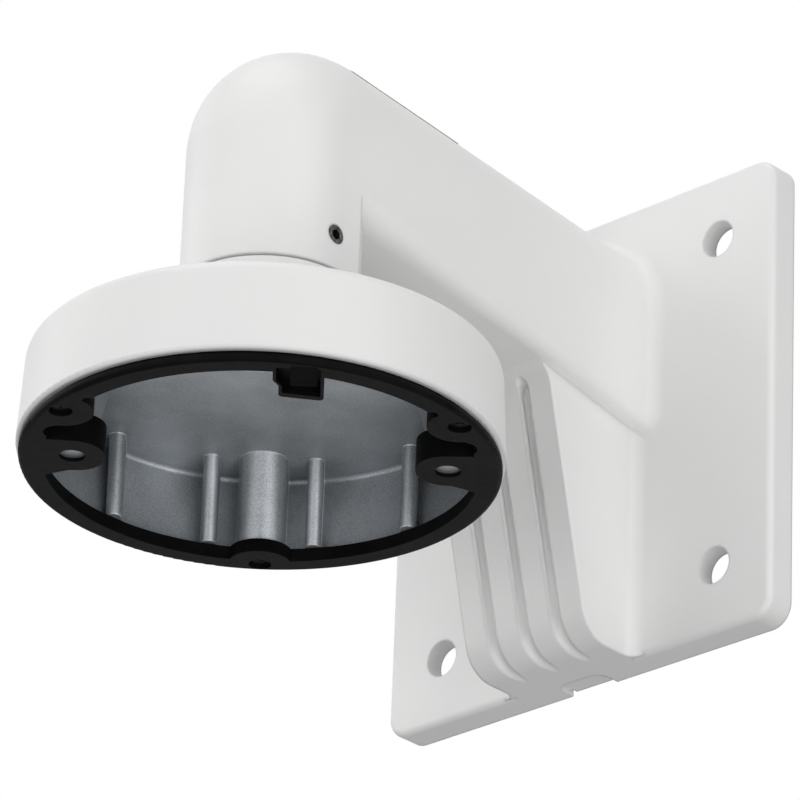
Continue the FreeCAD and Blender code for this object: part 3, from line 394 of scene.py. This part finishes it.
def add_mix(tree, kind, share, first, second):
    """A number, direction or colour that runs from first to second as share goes from 0
    to 1."""
    mix = tree.nodes.new("ShaderNodeMix")
    mix.data_type = kind
    at_first, at_second, at_result = MIX_SOCKETS[kind]
    set_sockets(tree, mix, {"Factor": share, at_first: first, at_second: second})
    return mix.outputs[at_result]


def coat_cup():
    """The coat outside and the bare metal inside, with a painted highlight on its edges."""
    material, tree, shader = new_material("cup_coat_and_bare_metal")
    colour, roughness, normal = powder_coat(tree, RIM_EDGE)
    inside = bare_inside(tree)
    speckle = add_noise(tree, SPECKLE_CELLS, detail=3.0, roughness=0.6)
    stain = add_noise(tree, STAIN_CELLS, detail=3.0)
    mixed = add_math(
        tree, "ADD", add_math(tree, "MULTIPLY", speckle, SPECKLE_SHARE),
        add_math(tree, "MULTIPLY", stain, STAIN_SHARE)
    )
    rounded = add_soft_edge(tree, METAL_EDGE)
    plain_metal = add_ramp(tree, mixed, METAL_BLEND, METAL_DARK, METAL_LIGHT)
    # The metal's edges get a painted highlight of near white.
    metal = add_mix(tree, "RGBA", painted_highlight_mask(tree, rounded), plain_metal, METAL_PAINTED_HIGHLIGHT)
    skin = add_bump(tree, speckle, SPECKLE_STRENGTH, SPECKLE_HEIGHT, rounded)
    set_sockets(tree, shader, {
        "Base Color": add_mix(tree, "RGBA", inside, colour, metal),
        "Metallic": add_math(tree, "MULTIPLY", inside, METAL_METALLIC),
        "Roughness": add_mix(tree, "FLOAT", inside, roughness, METAL_ROUGHNESS),
        "Normal": add_mix(tree, "VECTOR", inside, normal, skin),
        "Specular IOR Level": COAT_SPECULAR
    })
    return material


nodes["cup"].data.materials[0] = coat_cup()


# The ring is black glass-filled plastic, moulded in one piece with its lobes, tabs and
# catch. Its skin is satin, with a fine texture and slightly rounded edges.
RING_BLACK = (0.0030, 0.0030, 0.0032, 1)
RING_GREY = (0.0065, 0.0065, 0.0070, 1)
RING_BLEND = (0.3, 0.75)
RING_ROUGHNESS = (0.40, 0.52)
RING_SPECULAR = 0.03
RING_EDGE = 0.0003
RING_CLOUD_CELLS = 120
RING_GLOSS_CELLS = 400
RING_SKIN_CELLS = 3500
RING_SKIN_STRENGTH = 0.25
RING_SKIN_HEIGHT = 0.0001


def ring_plastic():
    """Black that greys a little in clouds, with a fine moulded skin."""
    material, tree, shader = new_material("black_ring_plastic")
    clouds = add_noise(tree, RING_CLOUD_CELLS, detail=3.0)
    gloss = add_noise(tree, RING_GLOSS_CELLS)
    skin = add_noise(tree, RING_SKIN_CELLS)
    edge = add_soft_edge(tree, RING_EDGE)
    set_sockets(tree, shader, {
        "Base Color": add_ramp(tree, clouds, RING_BLEND, RING_BLACK, RING_GREY),
        "Roughness": add_range(tree, gloss, *RING_ROUGHNESS),
        "Normal": add_bump(tree, skin, RING_SKIN_STRENGTH, RING_SKIN_HEIGHT, edge),
        "Specular IOR Level": RING_SPECULAR
    })
    return material


nodes["ring"].data.materials[0] = ring_plastic()


# Three small cross-head screws hold the ring to the cup, one deep in each of its lobes.
# They are steel, zinc plated and blackened.
ZINC_DARK = (0.05, 0.05, 0.052, 1)
ZINC_LIGHT = (0.12, 0.12, 0.125, 1)
ZINC_ROUGHNESS = (0.25, 0.42)
ZINC_METALLIC = 0.8
ZINC_CELLS = 1200

nodes["ring_screws"].data.materials[0] = screw_metal(
    "black_zinc", ZINC_CELLS, ZINC_DARK, ZINC_LIGHT, ZINC_ROUGHNESS, ZINC_METALLIC
)


# The stage is a pale floor well below the bracket, which hangs free as in the photograph.
# The camera and glossy surfaces see the floor glow nearly white, but the glow lights nothing.
FLOOR_HEIGHT = -2.6
FLOOR_HALF = 30.0
FLOOR_GREY = (0.4, 0.4, 0.4, 1)
FLOOR_ROUGHNESS = 0.8
FLOOR_GLOW = 0.72
WHITE = (1, 1, 1, 1)


def seen_directly(tree):
    """1 for rays from the camera, reflections and clear parts, 0 for light on surfaces."""
    path = tree.nodes.new("ShaderNodeLightPath").outputs
    seen = add_math(tree, "MAXIMUM", path["Is Camera Ray"], path["Is Glossy Ray"])
    return add_math(tree, "MAXIMUM", seen, path["Is Transmission Ray"])


def make_floor():
    """A flat square: its four corners at the floor's height."""
    corners = np.array([[-1, -1], [1, -1], [1, 1], [-1, 1]]) * FLOOR_HALF
    points = np.column_stack([corners, np.full(4, FLOOR_HEIGHT)])
    mesh = bpy.data.meshes.new("floor")
    mesh.from_pydata(points.tolist(), [], [(0, 1, 2, 3)])
    floor = bpy.data.objects.new("floor", mesh)
    bpy.context.scene.collection.objects.link(floor)
    material, tree, shader = new_material("pale_floor")
    set_sockets(tree, shader, {
        "Base Color": FLOOR_GREY, "Roughness": FLOOR_ROUGHNESS, "Emission Color": WHITE,
        "Emission Strength": add_range(tree, seen_directly(tree), 0, FLOOR_GLOW)
    })
    mesh.materials.append(material)
    return floor


make_floor()


# The surroundings are those of a plain studio: white where the camera and glossy surfaces
# see them, and a soft grey light on everything else.
WORLD_LIGHT = 0.22


def make_world():
    """A white background whose strength is 1 where it is seen, and less where it lights."""
    world = bpy.data.worlds.new("studio")
    bpy.context.scene.world = world
    world.use_nodes = True
    tree = world.node_tree
    strength = add_range(tree, seen_directly(tree), WORLD_LIGHT, 1.0)
    set_sockets(tree, tree.nodes["Background"], {"Color": WHITE, "Strength": strength})


make_world()


# Six large soft boxes stand round the bracket at one distance from its middle. Each lamp
# has its own power, so that the bracket's faces are about as light as in the photograph.
MIDDLE = Vector((0, -0.08, 0))
LAMP_DISTANCE = 2.0
LAMP_SIZE = 1.6


def add_lamp(name, side, power):
    """A large square soft box on one side of the bracket, turned to its middle."""
    light = bpy.data.lights.new(name, "AREA")
    light.size = LAMP_SIZE
    light.energy = power
    lamp = bpy.data.objects.new(name, light)
    bpy.context.scene.collection.objects.link(lamp)
    away = Vector(side).normalized() * LAMP_DISTANCE
    turn = (-away).to_track_quat("-Z", "Y").to_matrix().to_4x4()
    lamp.matrix_world = Matrix.Translation(MIDDLE + away) @ turn


add_lamp("right", (1, -0.1, 0.5), 11)
add_lamp("front", (-0.2, -1, 0.5), 8)
add_lamp("left", (-0.9, -0.5, 0.4), 11.3)
add_lamp("top", (0, -0.3, 1), 12)
add_lamp("low_front", (0.1, -1, -0.4), 10.3)
add_lamp("low_right", (0.9, -0.2, -0.6), 18)


# The camera looks up at the bracket from its right, 26 degrees below level, through a
# long lens. Turns and offsets were solved from the plate's holes and the cup's circles.
LENS = 270
SENSOR_WIDTH = 36
SIGHT = 100
TURN = math.radians(43.96)
RISE = math.radians(26.38)
ROLL = math.radians(2.29)
ORIGIN_SEEN = (0.0524, 0.01592, 1.56585)


def make_camera():
    """Turns the camera's axes by the three angles, and places it so that the part's origin
    lies at ORIGIN_SEEN: so far across, down and ahead of the lens, in metres."""
    right = np.array([math.cos(TURN), math.sin(TURN), 0])
    forward = np.array([
        -math.sin(TURN) * math.cos(RISE), math.cos(TURN) * math.cos(RISE), math.sin(RISE)
    ])
    up = np.cross(right, forward)
    across = math.cos(ROLL) * right + math.sin(ROLL) * up
    down = math.sin(ROLL) * right - math.cos(ROLL) * up
    place = -(across * ORIGIN_SEEN[0] + down * ORIGIN_SEEN[1] + forward * ORIGIN_SEEN[2])
    data = bpy.data.cameras.new("camera")
    data.lens = LENS
    data.sensor_width = SENSOR_WIDTH
    data.clip_end = SIGHT
    camera = bpy.data.objects.new("camera", data)
    bpy.context.scene.collection.objects.link(camera)
    axes = np.column_stack([across, -down, -forward])
    camera.matrix_world = Matrix.Translation(place) @ Matrix(axes.tolist()).to_4x4()
    bpy.context.scene.camera = camera


make_camera()
bpy.context.scene.view_settings.view_transform = "Standard"
